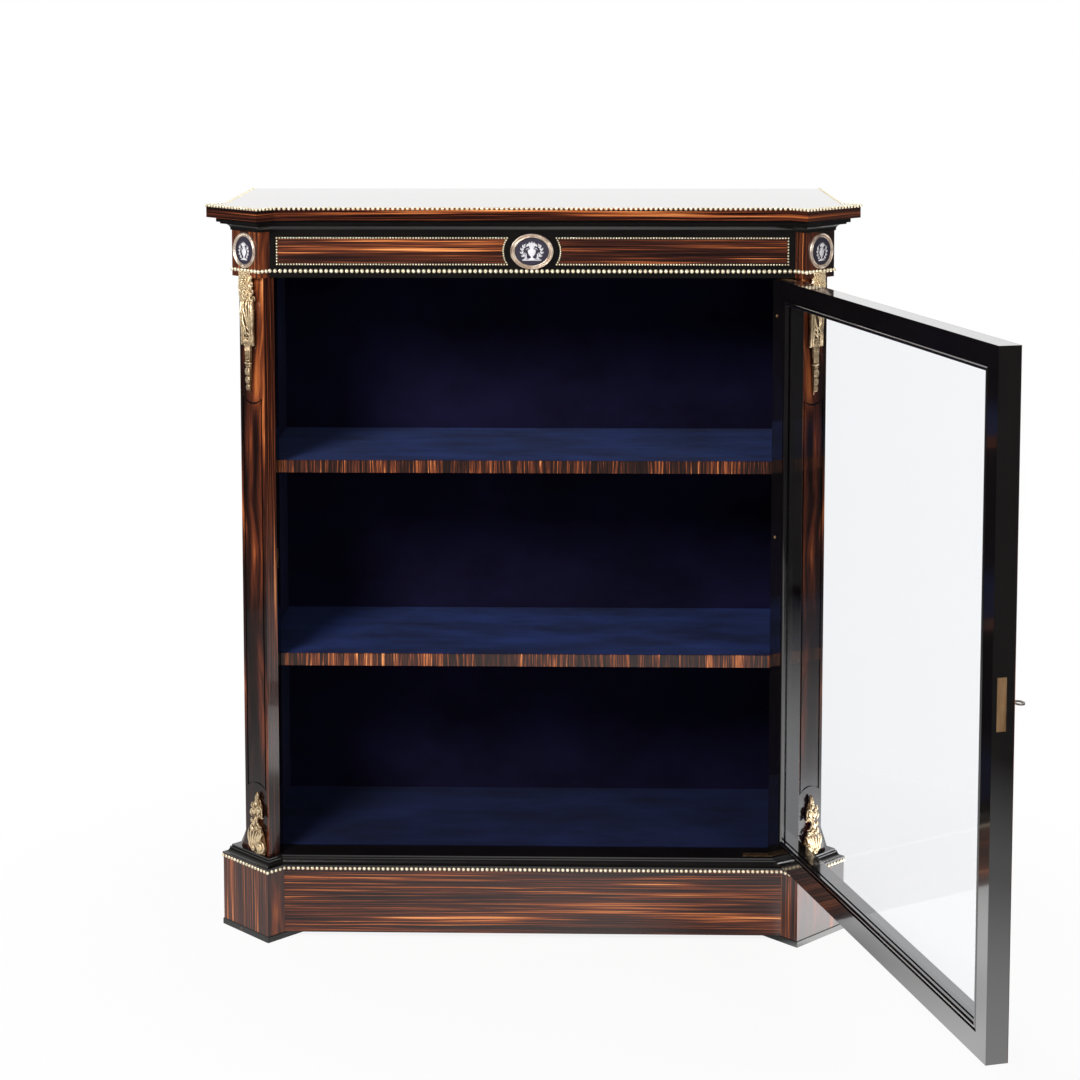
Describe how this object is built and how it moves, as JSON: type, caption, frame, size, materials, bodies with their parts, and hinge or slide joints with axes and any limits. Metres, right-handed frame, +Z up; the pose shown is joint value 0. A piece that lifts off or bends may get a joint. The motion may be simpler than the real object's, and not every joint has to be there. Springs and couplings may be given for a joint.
{
  "type": "display cabinet",
  "caption": "Display cabinet with canted corner pillars, gilt mounts and beading, a frieze with plaques and one glazed door hung open on a velvet-lined, shelved interior.",
  "frame": {"origin": "middle of the underside of the whole part's bounding box, door standing open as in the picture", "axes": "+X to the viewer's right along the front, +Y from front to back, +Z up"},
  "size_m": [1.0614, 1.0604, 1.0777],
  "materials": {
    "coromandel": "polished near-black brown veneer with orange-brown streaks",
    "ebonised_wood": "black, polished",
    "carcass_wood": "dark stained",
    "blue_velvet": "deep blue pile",
    "gilt_bronze": "gilt, satin",
    "brass": "brushed, slightly worn",
    "steel": "dull",
    "plaque_ceramic": "blue-black ground with white relief",
    "glass": "clear"
  },
  "bodies": {
    "cabinet": {"top_slab": "coromandel", "top_beading": "gilt_bronze", "cornice_moulding": "ebonised_wood", "frieze_block_right": "coromandel", "frieze_block_left": "coromandel", "frieze_sides": "ebonised_wood", "frieze_beading": "gilt_bronze", "panel_beading": "gilt_bronze", "frieze_panels": "coromandel", "centre_plaque": "plaque_ceramic", "centre_plaque_ring": "gilt_bronze", "side_plaque_right": "plaque_ceramic", "side_plaque_left": "plaque_ceramic", "side_plaque_rings": "gilt_bronze", "side_panel_right": "ebonised_wood", "side_panel_left": "ebonised_wood", "back_panel": "carcass_wood", "ceiling_board": "carcass_wood", "side_linings": "blue_velvet", "back_lining": "blue_velvet", "ceiling_lining": "blue_velvet", "floor_velvet": "blue_velvet", "shelf_upper": "carcass_wood", "shelf_lower": "carcass_wood", "shelf_velvet": "blue_velvet", "shelf_edges": "coromandel", "shelf_bearers": "carcass_wood", "plinth_block_right": "coromandel", "plinth_block_left": "coromandel", "plinth_front": "coromandel", "plinth_side_right": "coromandel", "plinth_side_left": "coromandel", "plinth_back": "carcass_wood", "plinth_beading": "gilt_bronze", "foot_plates": "ebonised_wood", "pillar_right": "coromandel", "upper_mount_right": "gilt_bronze", "upper_mount_left": "gilt_bronze", "lower_mount_right": "gilt_bronze", "lower_mount_left": "gilt_bronze", "plinth_cap": "ebonised_wood", "frieze_rail": "ebonised_wood", "pivot_plates": "brass", "keep_plate": "brass", "pillar_left": "coromandel", "carcass_screws": "brass"},
    "door": {"door_stile_hinge": "ebonised_wood", "door_stile_lock": "ebonised_wood", "door_rail_top": "ebonised_wood", "door_rail_bottom": "ebonised_wood", "door_glass": "glass", "glazing_beads": "ebonised_wood", "door_beading": "gilt_bronze", "door_veneer": "coromandel", "escutcheon": "gilt_bronze", "lock": "brass", "pivot_shoes": "brass", "door_screws": "brass"},
    "lock_bolt": {"lock_bolt": "brass"},
    "key": {"key": "steel"}
  },
  "joints": [
    {"name": "door_hinge", "type": "hinge", "parent": "cabinet", "child": "door", "pos_m": [0.30516, 0.17521, 0.1232], "axis": [0, 0, 1], "range_deg": [-105.6, 2]},
    {"name": "bolt_slide", "type": "slide", "parent": "door", "child": "lock_bolt", "axis": [0.2689, -0.9632, 0], "range_m": [0, 0.007]},
    {"name": "key_turn", "type": "hinge", "parent": "door", "child": "key", "pos_m": [0.50972, -0.50535, 0.55], "axis": [0.9632, 0.2689, 0], "range_deg": [0, 90]}
  ],
  "couplings": [
    {"joint": "key_turn", "follows": "bolt_slide", "rad_per_m": 224.38}
  ]
}
